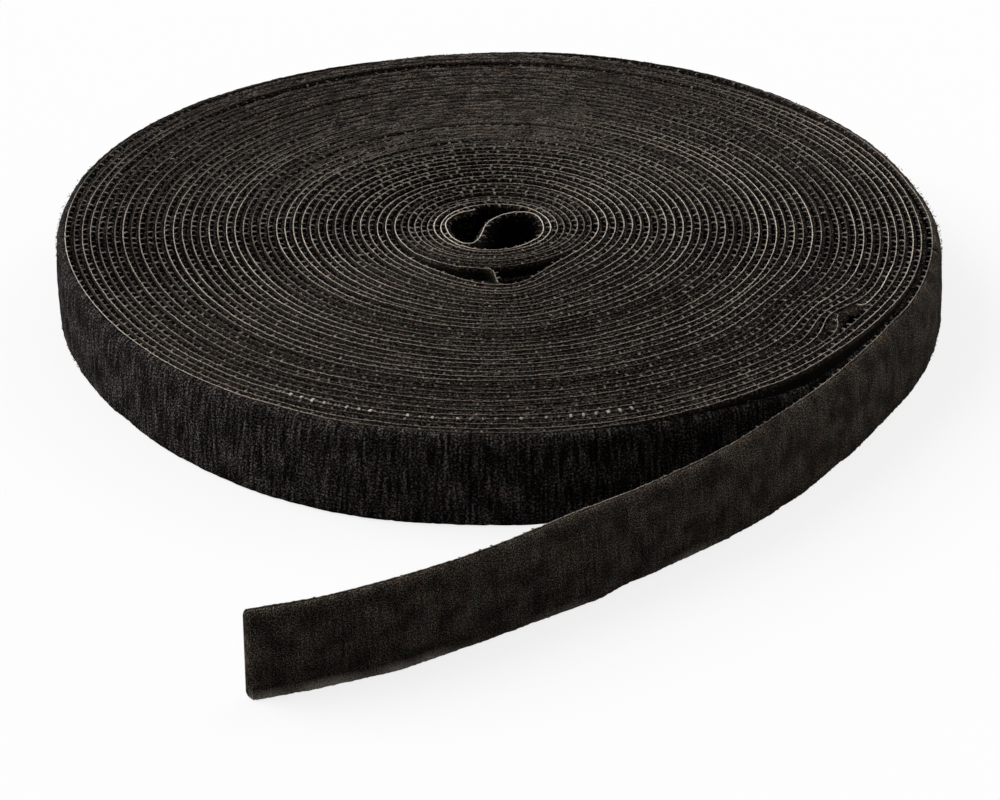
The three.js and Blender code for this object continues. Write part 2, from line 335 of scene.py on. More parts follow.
class Strip:
    """A length of tape: the points of its backing from above, and how much room it has on each side."""

    def __init__(self, points, wraps, seed, free_from=None):
        self.points = points
        self.along = distance_along(points)
        run = np.gradient(points, self.along, axis=0)
        run = run / np.linalg.norm(run, axis=1, keepdims=True)
        self.outward = np.stack([-run[:, 1], run[:, 0]], -1)
        self.wraps = wraps
        self.random = np.random.default_rng(seed)
        bearing = bearing_of(wraps)
        back, front = (
            most * hump(bearing, centre, to_left, to_right)
            for centre, to_right, to_left, most in (BRUSHED_BACK, BRUSHED_FRONT)
        )
        from_axis = np.linalg.norm(points, axis=1)
        self.brushed = back * np.clip((from_axis - BRUSHED_FROM[0]) / BRUSHED_FROM[1], 0, 1) + front
        covered = back * np.clip((from_axis - COVERED_FROM[0]) / COVERED_FROM[1], 0, 1)
        self.covered = covered + front
        spacing = wrap_radius(wraps + 1) - wrap_radius(wraps)
        pressed = np.clip(spacing - GROUND_THICKNESS - HOOK_LENGTH, LEAST_PILE, MOST_PRESSED_PILE)
        sprung_up = np.clip(spacing - GROUND_THICKNESS * 1.5, LEAST_PILE, FREE_PILE)
        pressed = pressed + (sprung_up - pressed) * self.brushed
        ease = np.zeros(len(points))
        if free_from is not None:
            ease = np.clip((wraps - free_from) / PILE_RISES_OVER_WRAPS, 0, 1) ** 2
        self.pile = pressed * (1 - ease) + FREE_PILE * ease
        self.deep_pile = np.clip(spacing - GROUND_THICKNESS - LIFT, self.pile, DEEPEST_PILE)
        drop = PRESSED_PILE_DROP + (SPRUNG_UP_DROP - PRESSED_PILE_DROP) * self.brushed
        self.sunk = hump(bearing, SUNK_LEFT_FRONT[0], SUNK_LEFT_FRONT[1])
        drop = drop + SUNK_LEFT_FRONT[2] * self.sunk
        self.pile_drop = drop * (1 - ease) + FREE_PILE_DROP * ease
        turn_numbers = np.floor(wraps + 0.5).astype(int)
        own_height = np.random.default_rng(seed + 50).normal(0, WRAP_UNEVENNESS, turn_numbers.max() + 3)
        own_height = np.interp(wraps, np.arange(len(own_height)), own_height)
        self.top = TAPE_WIDTH - BORE_SINK * np.exp(-((wraps / BORE_SINK_WRAPS) ** 2)) + own_height
        for wave in HEIGHT_WAVES:
            self.top = self.top + self.waver(*wave)
        self.top = self.top - max(0.0, float(self.top.max()) - TAPE_WIDTH - MOST_PROUD)
        self.base = np.zeros(len(points)) + LIFT
        self.flare = np.zeros(len(points))
        self.rim = np.zeros(len(points))
        self.peeled_painted_lighter = np.zeros(len(points))
        self.edge_highlight = EDGE_HIGHLIGHT
        for wave in EDGE_HIGHLIGHT_WAVES:
            self.edge_highlight = self.edge_highlight + self.waver(*wave)
        self.edge_highlight = np.clip(self.edge_highlight, 0.05, 1)
        # The painted highlight is dimmed where the cut edges are seen end on, at the front and back, and
        # where loops hide the hooks: painted shade.
        self.edge_highlight = self.edge_highlight * (1 - HIGHLIGHT_DIMMED_END_ON * np.sin(np.radians(bearing)) ** 2)
        self.edge_highlight = self.edge_highlight * (1 - HIGHLIGHT_DIMMED_COVERED * covered)

    def part(self, span):
        """The same strip, cut down to some of its stations."""
        cut = copy.copy(self)
        for name, value in vars(self).items():
            if isinstance(value, np.ndarray):
                setattr(cut, name, value[span])
        return cut

    def waver(self, wave_length, height):
        """A smooth random wave along the strip."""
        knots = int(self.along[-1] / wave_length) + 3
        values = self.random.normal(0, height, knots)
        return np.interp(self.along / wave_length, np.arange(knots), values)

    def jitter(self, height):
        return self.random.normal(0, height, len(self.points))

    def ring(self, offsets, heights):
        """Points round the section at each station: how far outward of the backing, and how high."""
        columns = []
        for offset, height in zip(offsets, heights):
            offset = np.broadcast_to(offset, len(self.points))
            height = np.broadcast_to(height, len(self.points))
            offset = offset + self.flare * (1 - height / TAPE_WIDTH)
            plan = self.points + self.outward * offset[:, None]
            columns.append(np.column_stack([plan, height]))
        return np.stack(columns, 1)


def mark(mesh, name, values):
    """Set a number for each vertex, which the material or the nodes read by its name."""
    mesh.attributes.new(name, "FLOAT", "POINT").data.foreach_set("value", values.astype(np.float32))


def sweep(name, rings, along, material, up=None):
    """A closed skin over sections of the same number of points, with metres along and up as its UV."""
    stations, around = rings.shape[:2]
    turned = np.roll(rings, -1, axis=1)
    middle = rings.mean(axis=1, keepdims=True)
    areas = np.cross(rings - middle, turned - middle).sum(axis=1)
    forward = np.gradient(middle[:, 0], axis=0)
    if up is None:
        heights = rings[:, :, 2]
        lowest, highest = heights.min(axis=1, keepdims=True), heights.max(axis=1, keepdims=True)
        up = (heights - lowest) / (highest - lowest) * TAPE_WIDTH
    if (areas * forward).sum() < 0:
        rings, up = rings[:, ::-1], up[:, ::-1]
    first = np.arange(stations - 1)[:, None] * around
    a = first + np.arange(around)
    b = first + (np.arange(around) + 1) % around
    quads = np.stack([a, b, b + around, a + around], -1).reshape(-1, 4)
    caps = [list(range(around))[::-1], list(range((stations - 1) * around, stations * around))]
    mesh = bpy.data.meshes.new(name)
    mesh.from_pydata((rings.reshape(-1, 3) * MM).tolist(), [], quads.tolist() + caps)
    loops = np.empty(len(mesh.loops), int)
    mesh.loops.foreach_get("vertex_index", loops)
    place = np.column_stack([np.repeat(along, around), up.ravel()]) * MM
    mesh.uv_layers.new(name="along and up").data.foreach_set("uv", place[loops].ravel())
    mesh.shade_smooth()
    mesh.materials.append(material)
    return new_object(name, mesh)


# The S in the bore, in millimetres, from its free end to where it joins the winding at the front
FOLD = (
    (-4.6, 9.0), (-7.3, 7.6), (-9.5, 5.4), (-10.7, 3.0), (-10.9, 0.5), (-9.9, -4.0), (-8.1, -7.0),
    (-5.9, -8.1), (-4.1, -6.8), (-3.0, -3.0), (-2.1, 1.3), (-0.1, 4.8), (2.9, 7.1), (6.4, 7.7), (8.8, 6.3),
    (10.2, 2.5), (10.3, -1.9), (8.9, -5.6),
)
FOLD_END_WRAP, INNER_START_WRAP, SPLICE_GAP_WRAPS = 0.655, 0.66, 0.008
INNER_STEP = 0.5
# Its pile is thin. Beside the gap in front of the bore it is crushed to far below the cut edges.
INNER_PILE, CRUSHED_DROP, CRUSHED_WRAPS = 0.8, 3.0, 0.35
joining = wrap_points(FOLD_END_WRAP, INNER_START_WRAP, INNER_STEP)[0][0]
fold_line = smooth_line(FOLD + (tuple(joining),), INNER_STEP)
inner_turns, inner_wraps = wrap_points(INNER_START_WRAP, INNER_SPLICE_WRAP - SPLICE_GAP_WRAPS, INNER_STEP)
inner_strip = Strip(
    np.vstack([fold_line[:-1], inner_turns]),
    np.concatenate([np.linspace(0.1, FOLD_END_WRAP, len(fold_line) - 1), inner_wraps]), seed=11,
)
in_fold = np.arange(len(inner_strip.points)) < len(fold_line)
inner_strip.pile = np.where(in_fold, INNER_PILE, np.minimum(inner_strip.pile, INNER_PILE))
inner_strip.deep_pile = np.where(in_fold, inner_strip.pile, inner_strip.deep_pile)
beside_gap = inner_strip.wraps > INNER_SPLICE_WRAP - CRUSHED_WRAPS
inner_strip.pile_drop = np.where(beside_gap, CRUSHED_DROP, inner_strip.pile_drop)
# Round the bore the painted highlight on the cut edges is brightest, less so at the front and the back,
# where they are seen end on
BRIGHTEST_HIGHLIGHT_WRAPS, DULLER_ROUND_BORE, DULLER_END_ON = 2.1, 0.7, 0.6
round_bore = np.exp(-((inner_strip.wraps / BRIGHTEST_HIGHLIGHT_WRAPS) ** 6))
seen_end_on = np.sin(np.radians(bearing_of(inner_strip.wraps))) ** 2
brightest_highlight = round_bore * (1 - DULLER_END_ON * seen_end_on * ~in_fold)
inner_strip.edge_highlight = inner_strip.edge_highlight * DULLER_ROUND_BORE + brightest_highlight
# Its hooks are seen in the fold and so many millimetres past it
SEEN_PAST_FOLD = 120
in_bore = slice(0, len(fold_line) + int(SEEN_PAST_FOLD / INNER_STEP))

# Knitted nylon ground: matte black threads with a heat-cut edge. The light that its cut ends catch is
# painted on as a thin warm grey line, a painted highlight, brighter and duller from thread to thread and
# from wrap to wrap. Next to the edge the threads are frayed and brown. Sizes in metres; the threads are
# drawn twice as coarse as they are.
THREAD = 0.0006
CUT_EDGE = 0.00012
FRAYED = 0.0014
DYED_PATCH = 0.003
HUES = ((0.38, "#faeede"), (0.45, "#f4eaf2"), (0.51, "#f8f2ec"), (0.57, "#ecf2e4"), (0.64, "#eeeef6"))


def colour_ramp(tree, factor, stops):
    ramp = add(tree, "ShaderNodeValToRGB", {"Fac": factor})
    while len(ramp.color_ramp.elements) < len(stops):
        ramp.color_ramp.elements.new(0.5)
    for element, (position, colour) in zip(ramp.color_ramp.elements, stops):
        element.position = position
        element.color = linear(colour)
    return ramp.outputs["Color"]


def dyed(tree, place, colour):
    """The colour, a little browner, greener or more purple from place to place."""
    dye = add(tree, "ShaderNodeTexNoise", {"Vector": place, "Scale": 1 / DYED_PATCH, "Detail": 3.0})
    return add(
        tree, "ShaderNodeMix", {"Factor": 1.0, "A": colour, "B": colour_ramp(tree, dye, HUES)},
        data_type="RGBA", blend_type="MULTIPLY",
    ).outputs["Result"]


def ground_surface(name):
    material, tree, shader = new_material(name, roughness=0.8, specular=0.1)
    place = add(tree, "ShaderNodeUVMap", uv_map="along and up")
    split = add(tree, "ShaderNodeSeparateXYZ", {"Vector": place})
    half = TAPE_WIDTH * MM / 2
    from_middle = add(tree, "ShaderNodeMath", {0: split.outputs["Y"], 1: half}, operation="SUBTRACT")
    distance = add(tree, "ShaderNodeMath", {0: from_middle}, operation="ABSOLUTE")
    at_edge = add(
        tree, "ShaderNodeMapRange",
        {"Value": distance, "From Min": half - CUT_EDGE, "From Max": half - CUT_EDGE * 0.4},
    )
    along = add(tree, "ShaderNodeCombineXYZ", {"X": split.outputs["X"]})
    stitches = add(
        tree, "ShaderNodeTexNoise", {"Vector": along, "Scale": 1 / THREAD, "Detail": 2.0, "Roughness": 0.6}
    )
    # The pale line along the cut edge is a painted highlight; the strip's number for it, read here, sets how
    # strong it is.
    highlight_strength = add(tree, "ShaderNodeAttribute", attribute_name="edge_highlight")
    standing_out = add(
        tree, "ShaderNodeMath", {0: highlight_strength.outputs["Fac"], 1: 0.2, 2: stitches},
        operation="MULTIPLY_ADD",
    )
    glints = add(tree, "ShaderNodeMapRange", {"Value": standing_out, "From Min": 0.46, "From Max": 0.78})
    glow = add(tree, "ShaderNodeMath", {0: glints, 1: highlight_strength.outputs["Fac"]}, operation="MULTIPLY")
    edge_highlight = add(
        tree, "ShaderNodeMix", {"Factor": glow, "A": linear("#2e2720"), "B": linear("#f0e7d9")},
        data_type="RGBA",
    )
    threads = add(tree, "ShaderNodeTexNoise", {"Vector": place, "Scale": 1 / THREAD, "Detail": 2.0})
    brown_threads = add(tree, "ShaderNodeMapRange", {"Value": threads, "From Min": 0.44, "From Max": 0.66})
    near_edge = add(
        tree, "ShaderNodeMapRange",
        {"Value": distance, "From Min": half - FRAYED, "From Max": half - FRAYED * 0.4},
    )
    frayed = add(tree, "ShaderNodeMath", {0: brown_threads, 1: near_edge}, operation="MULTIPLY")
    body = add(
        tree, "ShaderNodeMix", {"Factor": frayed, "A": linear("#120e0a"), "B": linear("#5e554e")},
        data_type="RGBA",
    )
    colour = add(tree, "ShaderNodeMix", {"Factor": at_edge, "A": body, "B": edge_highlight}, data_type="RGBA")
    tree.links.new(dyed(tree, place, colour), shader.inputs["Base Color"])
    bump = add(tree, "ShaderNodeBump", {"Strength": 0.5, "Distance": 0.0001, "Height": threads})
    tree.links.new(bump.outputs["Normal"], shader.inputs["Normal"])
    return material


ground = ground_surface("heat-cut knitted nylon")
GROUND_ROUNDING = 0.1
FRAY_OUT, FRAY_UP, FRAY_DOWN, UNEVEN_THICKNESS = 0.025, 0.04, 0.03, 0.16


def make_ground(name, strip):
    """The tape's backing: a thin band with a rounded, slightly frayed top and bottom edge."""
    half = GROUND_THICKNESS / 2
    fray = strip.jitter(FRAY_OUT)
    top = strip.top + strip.jitter(FRAY_UP)
    base = strip.base + np.abs(strip.jitter(FRAY_DOWN))
    thick = half * (1 + strip.jitter(UNEVEN_THICKNESS))
    flat = thick * 0.4
    offsets = (-thick, -thick, -flat + fray, flat + fray, thick, thick, flat, -flat)
    low, high = base + GROUND_ROUNDING, top - GROUND_ROUNDING
    heights = (low, high, top, top, high, low, base, base)
    piece = sweep(name, strip.ring(offsets, heights), strip.along, ground)
    mark(piece.data, "edge_highlight", np.repeat(strip.edge_highlight, len(offsets)))
    return piece


def finish(piece, slot_name, *nodes, body="roll"):
    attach(piece, body)
    if nodes:
        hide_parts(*nodes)


finish(make_ground("inner_strip_ground", inner_strip), "hook_ribbon", "inner_strip_hook_ribbon")

# Brushed nylon loops: near-black yarn, faintly brown, purple and green from tuft to tuft, dull all over.
# Wound in, they are pressed and frayed at the top; further down, between the wraps, they are painted
# black, a painted shade. In the open, upright streaks a millimetre apart are drawn by the brush. Sizes
# in metres; a tuft is a few loops that cling together.
WOUND_TUFT = 0.00045
STREAK_WIDTH, STREAK_HEIGHT = 0.0007, 0.007
BLOTCH, BLOTCH_TONES = 0.005, ((0.36, "#b0b0b0"), (0.62, "#ffffff"))
SPRUNG_UP_LIGHTER = 0.115
UNSHADED_TOP = 0.0009


def pile_tone(tree, place, on_strip, streaky, tuft):
    """How light each tuft is, and the same with a share of upright streaks in it."""
    tufts = add(
        tree, "ShaderNodeTexNoise", {"Vector": place, "Scale": 1 / tuft, "Detail": 2.0, "Roughness": 0.6}
    )
    stretched = add(
        tree, "ShaderNodeMapping", {"Vector": on_strip, "Scale": (1 / STREAK_WIDTH, 1 / STREAK_HEIGHT, 1.0)}
    )
    streaks = add(tree, "ShaderNodeTexNoise", {"Vector": stretched, "Scale": 1.0, "Detail": 1.0})
    both = add(tree, "ShaderNodeMix", {0: streaky, 2: tufts, 3: streaks}, data_type="FLOAT")
    return tufts, both


def pile_surface(name, stops, streaky, tuft, wound_in=False, peeled_painted_lighter=None):
    material, tree, shader = new_material(name, roughness=0.95, specular=0.04)
    on_strip = add(tree, "ShaderNodeUVMap", uv_map="along and up")
    in_space = add(tree, "ShaderNodeTexCoord").outputs["Object"]
    place = in_space if wound_in else on_strip
    tufts, relief = pile_tone(tree, place, on_strip, streaky, tuft)
    # The number marked brushed lightens the pile where its loops have sprung up, and darkens it where it
    # lies deeper at the left front, which is painted shade.
    sprung_up = add(tree, "ShaderNodeAttribute", attribute_name="brushed")
    tone = add(
        tree, "ShaderNodeMath", {0: sprung_up.outputs["Fac"], 1: SPRUNG_UP_LIGHTER, 2: relief},
        operation="MULTIPLY_ADD",
    )
    shade = colour_ramp(tree, tone, stops)
    # The peeled stretch takes its own tones: browner, and painted lighter as well, which is painted light.
    if peeled_painted_lighter:
        peeled_stops, peeled_streaky, peeled_tuft = peeled_painted_lighter
        how_far = add(tree, "ShaderNodeAttribute", attribute_name="peeled_painted_lighter").outputs["Fac"]
        tufts, peeled_relief = pile_tone(tree, place, on_strip, peeled_streaky, peeled_tuft)
        shade = add(
            tree, "ShaderNodeMix",
            {"Factor": how_far, "A": shade, "B": colour_ramp(tree, peeled_relief, peeled_stops)},
            data_type="RGBA",
        )
        relief = add(tree, "ShaderNodeMix", {0: how_far, 2: relief, 3: peeled_relief}, data_type="FLOAT")
    blotches = add(tree, "ShaderNodeTexNoise", {"Vector": place, "Scale": 1 / BLOTCH, "Detail": 2.0})
    blotchy = add(
        tree, "ShaderNodeMix",
        {"Factor": 1.0, "A": dyed(tree, place, shade), "B": colour_ramp(tree, blotches, BLOTCH_TONES)},
        data_type="RGBA", blend_type="MULTIPLY",
    )
    # Where rim is marked, along the tail's foot, the pile is painted near white: painted light.
    painted_foot_light = add(tree, "ShaderNodeAttribute", attribute_name="rim")
    grain = add(tree, "ShaderNodeMapRange", {"Value": tufts, "From Min": 0.3, "From Max": 0.52})
    foot_light = add(tree, "ShaderNodeMath", {0: painted_foot_light.outputs["Fac"], 1: grain}, operation="MULTIPLY")
    colour = add(
        tree, "ShaderNodeMix", {"Factor": foot_light, "A": blotchy, "B": linear("#fff4e6")}, data_type="RGBA"
    )
    # Below a band at the top the wound pile is painted black: painted shade between the wraps.
    if wound_in:
        up = add(tree, "ShaderNodeSeparateXYZ", {"Vector": on_strip}).outputs["Y"]
        high = TAPE_WIDTH * MM
        near_top = add(
            tree, "ShaderNodeMapRange",
            {"Value": up, "From Min": high - UNSHADED_TOP, "From Max": high - UNSHADED_TOP * 0.3},
        )
        colour = add(
            tree, "ShaderNodeMix", {"Factor": near_top, "A": linear("#060505"), "B": colour},
            data_type="RGBA",
        )
    tree.links.new(colour.outputs["Result"], shader.inputs["Base Color"])
    bump = add(tree, "ShaderNodeBump", {"Strength": 0.6, "Distance": 0.0003, "Height": relief})
    tree.links.new(bump.outputs["Normal"], shader.inputs["Normal"])
    return material


WOUND_TONES = ((0.4, "#070504"), (0.47, "#15100d"), (0.51, "#27211e"), (0.57, "#48423e"), (0.66, "#756d67"))
pressed_cloth = pile_surface("pressed nylon loop pile", WOUND_TONES, 0.0, WOUND_TUFT, wound_in=True)
# The pile is rooted just inside the ground. It is ragged on top, and widest where the next wrap's hooks
# have caught it.
PILE_ROOT = GROUND_THICKNESS / 2 - 0.04
RAGGED, RAGGED_BASE, PRESSED_PILE_BASE, CAUGHT_HEIGHT = 0.1, 0.08, 0.4, 9.0
# Where the pile lies deeper, at the left front, it is painted darker: painted shade.
SUNK_PAINTED_SHADE = 1.0


def make_pressed_pile(name, strip):
    """The band of loops between two wraps."""
    top = strip.top - strip.pile_drop + strip.jitter(RAGGED)
    base = strip.base + PRESSED_PILE_BASE + strip.jitter(RAGGED_BASE)
    depth = strip.pile * (1 + strip.jitter(RAGGED))
    middle = PILE_ROOT + depth * 0.55
    offsets = (PILE_ROOT, PILE_ROOT, middle, PILE_ROOT + depth, PILE_ROOT + strip.deep_pile, middle)
    heights = (base, top, top + 0.1 + strip.jitter(RAGGED), top - 0.2, CAUGHT_HEIGHT, base - 0.1)
    piece = sweep(name, strip.ring(offsets, heights), strip.along, pressed_cloth)
    mark(piece.data, "brushed", np.repeat(strip.brushed - SUNK_PAINTED_SHADE * strip.sunk, len(offsets)))
    return piece


finish(make_pressed_pile("inner_strip_pile", inner_strip), "loop_fabric", "inner_strip_loop_fabric")

# Moulded hooks: black nylon monofilament. The light that they catch is painted on as a pale colour, a
# painted highlight, brightest at a hook's root against the ground and duller towards its tip.
hook_nylon, hook_tree, hook_shader = new_material("moulded nylon hooks", roughness=0.4, specular=0.3)
hook_shade = add(hook_tree, "ShaderNodeAttribute", attribute_name="shade")
hook_gain = add(hook_tree, "ShaderNodeMath", {0: hook_shade.outputs["Fac"], 1: 1.4}, operation="POWER")
hook_colour = add(
    hook_tree, "ShaderNodeMix", {"Factor": hook_gain, "A": linear("#0e0b08"), "B": linear("#dccec0")},
    data_type="RGBA",
)
hook_tree.links.new(hook_colour.outputs["Result"], hook_shader.inputs["Base Color"])
hook_shader.inputs["IOR"].default_value = 1.53


def bent_stem(name, points, widths, depths, sides, material, shades):
    """A small closed stem to be repeated, with its half width, half depth and painted light and shade at
    each point.
    """
    points = np.array(points, float)
    run = np.gradient(points, axis=0)
    run = run / np.linalg.norm(run, axis=1, keepdims=True)
    across = np.array([1.0, 0.0, 0.0])
    if abs(points[:, 0]).max() > abs(points[:, 1]).max():
        across = np.array([0.0, 1.0, 0.0])
    vertices = []
    for point, forward, width, depth in zip(points, run, widths, depths):
        over = np.cross(forward, across)
        for k in range(sides):
            angle = 2 * math.pi * (k + 0.5) / sides
            vertices.append(point + width * math.cos(angle) * across + depth * math.sin(angle) * over)
    faces = []
    for i in range(len(points) - 1):
        for k in range(sides):
            a, b = i * sides + k, i * sides + (k + 1) % sides
            faces.append((a, b, b + sides, a + sides))
    faces.append(tuple(range(sides))[::-1])
    faces.append(tuple(range((len(points) - 1) * sides, len(points) * sides)))
    mesh = bpy.data.meshes.new(name)
    mesh.from_pydata([tuple(v * MM) for v in vertices], [], faces)
    work = bmesh.new()
    work.from_mesh(mesh)
    bmesh.ops.recalc_face_normals(work, faces=work.faces)
    work.to_mesh(mesh)
    work.free()
    mark(mesh, "own_shade", np.repeat(shades, sides))
    mesh.materials.append(material)
    return bpy.data.objects.new(name, mesh)


def repeat_tree(name, material, over_surface):
    """Geometry nodes that set a small shape again and again along lines, or scattered over a sheet."""
    tree = bpy.data.node_groups.new(name, "GeometryNodeTree")
    sockets = {}
    kinds = {"Geometry": "NodeSocketGeometry", "Shape": "NodeSocketObject", "Seed": "NodeSocketInt"}
    numbers = ("Pitch", "Per square metre", "Tilt", "Spin", "Smallest", "Largest", "Dullest", "Brightest")
    for label in ("Geometry", "Shape", *numbers, "Seed"):
        kind = kinds.get(label, "NodeSocketFloat")
        sockets[label] = tree.interface.new_socket(name=label, in_out="INPUT", socket_type=kind).identifier
    tree.interface.new_socket(name="Geometry", in_out="OUTPUT", socket_type="NodeSocketGeometry")
    given = add(tree, "NodeGroupInput").outputs
    if over_surface:
        crowding = add(tree, "GeometryNodeInputNamedAttribute", {"Name": "crowding"}, data_type="FLOAT")
        density = add(
            tree, "ShaderNodeMath", {0: given["Per square metre"], 1: crowding}, operation="MULTIPLY"
        )
        spread = add(
            tree, "GeometryNodeDistributePointsOnFaces",
            {"Mesh": given["Geometry"], "Density": density, "Seed": given["Seed"]},
            distribute_method="RANDOM",
        )
        points = spread.outputs["Points"]
        facing = add(
            tree, "FunctionNodeAlignRotationToVector", {"Vector": spread.outputs["Normal"]}, axis="Z"
        )
    else:
        even = add(
            tree, "GeometryNodeResampleCurve", {"Curve": given["Geometry"], "Length": given["Pitch"]},
            mode="LENGTH",
        )
        points = even.outputs["Curve"]
        facing = add(
            tree, "FunctionNodeAlignRotationToVector",
            {"Vector": add(tree, "GeometryNodeInputTangent").outputs["Tangent"]}, axis="X", pivot_axis="Z",
        )
    most = add(tree, "ShaderNodeCombineXYZ", {"X": given["Tilt"], "Y": given["Tilt"], "Z": given["Spin"]})
    least = add(tree, "ShaderNodeVectorMath", {0: most, "Scale": -1.0}, operation="SCALE")
    lean = add(
        tree, "FunctionNodeRandomValue", {0: least, 1: most, "Seed": given["Seed"]}, data_type="FLOAT_VECTOR"
    )
    turned = add(
        tree, "FunctionNodeRotateRotation", {"Rotation": facing, "Rotate By": lean}, rotation_space="LOCAL"
    )
    size = add(
        tree, "FunctionNodeRandomValue",
        {2: given["Smallest"], 3: given["Largest"], "Seed": given["Seed"]}, data_type="FLOAT",
    )
    shape = add(tree, "GeometryNodeObjectInfo", {"Object": given["Shape"]})
    copies = add(
        tree, "GeometryNodeInstanceOnPoints",
        {"Points": points, "Instance": shape.outputs["Geometry"], "Rotation": turned, "Scale": size},
    )
    luck = add(
        tree, "FunctionNodeRandomValue",
        {2: given["Dullest"], 3: given["Brightest"], "Seed": given["Seed"]}, data_type="FLOAT",
    )
    marked = add(
        tree, "GeometryNodeStoreNamedAttribute", {"Geometry": copies, "Name": "luck", "Value": luck},
        data_type="FLOAT", domain="INSTANCE",
    )
    solid = add(tree, "GeometryNodeRealizeInstances", {"Geometry": marked})
    # Each copy's shade is its random luck times the light and shade painted along its stem.
    by_luck = add(tree, "GeometryNodeInputNamedAttribute", {"Name": "luck"}, data_type="FLOAT")
    painted_along_stem = add(tree, "GeometryNodeInputNamedAttribute", {"Name": "own_shade"}, data_type="FLOAT")
    shade = add(tree, "ShaderNodeMath", {0: by_luck, 1: painted_along_stem}, operation="MULTIPLY")
    shaded = add(
        tree, "GeometryNodeStoreNamedAttribute", {"Geometry": solid, "Name": "shade", "Value": shade},
        data_type="FLOAT", domain="POINT",
    )
    finished = add(tree, "GeometryNodeSetMaterial", {"Geometry": shaded, "Material": material})
    add(tree, "NodeGroupOutput", {"Geometry": finished})
    return tree, sockets


def repeated(name, source, tree, sockets, **values):
    """The tree run once on the source, as a plain mesh of its own. The source is then removed."""
    bpy.context.scene.collection.objects.link(source)
    modifier = source.modifiers.new("repeat", "NODES")
    modifier.node_group = tree
    for label, value in values.items():
        modifier[sockets[label.replace("_", " ")]] = value
    source.update_tag()
    bpy.context.view_layer.update()
    graph = bpy.context.evaluated_depsgraph_get()
    mesh = bpy.data.meshes.new_from_object(source.evaluated_get(graph), depsgraph=graph)
    mesh.name = name
    for attribute in ("luck", "own_shade", "crowding"):
        if attribute in mesh.attributes:
            mesh.attributes.remove(mesh.attributes[attribute])
    source.modifiers.remove(modifier)
    bpy.data.objects.remove(source)
    return new_object(name, mesh)


HOOK_STEM = ((0, -0.02, 0), (0, -0.32, 0.02), (0, -0.66, 0.1), (0, -0.86, -0.06))
hook_shape = bent_stem(
    "hook", HOOK_STEM, (0.42, 0.28, 0.22, 0.24), (0.17, 0.13, 0.12, 0.14), 4, hook_nylon,
    (0.95, 0.62, 0.5, 0.56),
)
# A darker copy of the hook, for the rows in the bore and low on the tape: painted shade.
shaded_hook_shape = bent_stem(
    "plain hook", HOOK_STEM[::3], (0.24, 0.2), (0.16, 0.14), 4, hook_nylon, (0.12, 0.05)
)
hook_nodes, hook_sockets = repeat_tree("hooks along the ground", hook_nylon, False)
# Rows lie so many millimetres apart, and hooks in a row so many metres, as coarse as they show along the
# edge. Where loops have sprung up they hide the top ones, which lie so many millimetres lower there.
HOOK_ROW_PITCH, HOOK_PITCH = 1.5, 0.0025
HOOKS_HIDDEN = 0.45


def make_hooks(name, strip, drops, shape, seed, dullest=0.08, brightest=0.6):
    """Rows of hooks on the bore side of the ground, each row so far below its upper edge."""
    place = strip.points - strip.outward * (GROUND_THICKNESS / 2)
    curve = bpy.data.curves.new("rows", "CURVE")
    curve.dimensions = "3D"
    for number, drop_below in enumerate(drops):
        line = place[number % 2 * 2 :]
        height = (strip.top - drop_below - HOOKS_HIDDEN * strip.covered)[number % 2 * 2 :]
        spline = curve.splines.new("POLY")
        spline.points.add(len(line) - 1)
        flat = np.column_stack([line * MM, height * MM, np.ones(len(line))])
        spline.points.foreach_set("co", flat.ravel())
    return repeated(
        name, bpy.data.objects.new("rows", curve), hook_nodes, hook_sockets, Shape=shape, Pitch=HOOK_PITCH,
        Tilt=0.25, Spin=0.4, Smallest=0.7, Largest=1.15, Dullest=dullest, Brightest=brightest, Seed=seed,
    )


FULL_ROWS = tuple(0.3 + HOOK_ROW_PITCH * row for row in range(1, 12))
TOP_ROW, BOTTOM_ROW = (0.22,), (TAPE_WIDTH - 0.9,)
finish(make_hooks("inner_strip_top_hooks", inner_strip, TOP_ROW, hook_shape, 21), "hook_ribbon")
finish(
    make_hooks("inner_strip_bore_hooks", inner_strip.part(in_bore), FULL_ROWS, shaded_hook_shape, 41),
    "hook_ribbon",
)

# Yarn ends and loops that stand out of the pile: drawn nylon, a little glossier than the pile, browner,
# greener or more purple from patch to patch. They are drawn coarser than they are.
yarn, yarn_tree, yarn_shader = new_material("loose nylon yarn", roughness=0.7, specular=0.2)
yarn_shade = add(yarn_tree, "ShaderNodeAttribute", attribute_name="shade")
yarn_place = add(yarn_tree, "ShaderNodeTexCoord")
YARN_PATCH = 0.0014
yarn_dye = add(
    yarn_tree, "ShaderNodeTexNoise",
    {"Vector": yarn_place.outputs["Object"], "Scale": 1 / YARN_PATCH, "Detail": 0.0},
)
YARN_TONES = ((0.38, "#b5a595"), (0.46, "#b0a2aa"), (0.54, "#aaa397"), (0.62, "#9aa08f"))
yarn_dyed = colour_ramp(yarn_tree, yarn_dye, YARN_TONES)
yarn_colour = add(
    yarn_tree, "ShaderNodeMix",
    {"Factor": yarn_shade.outputs["Fac"], "A": linear("#0d0a08"), "B": yarn_dyed}, data_type="RGBA",
)
yarn_tree.links.new(yarn_colour.outputs["Result"], yarn_shader.inputs["Base Color"])
LOOP_ARCH = ((-0.2, 0, -0.1), (-0.13, 0.03, 0.2), (0.06, -0.03, 0.3), (0.2, 0.0, -0.1))
# The loop is painted lighter at the top of its arch and darker at its ends: painted light and shade.
loop_shape = bent_stem("loop", LOOP_ARCH, (0.06,) * 4, (0.06,) * 4, 3, yarn, (0.3, 0.8, 1.0, 0.3))
yarn_nodes, yarn_sockets = repeat_tree("loops over the pile", yarn, True)
YARN_SHADES = (0.03, 0.32)


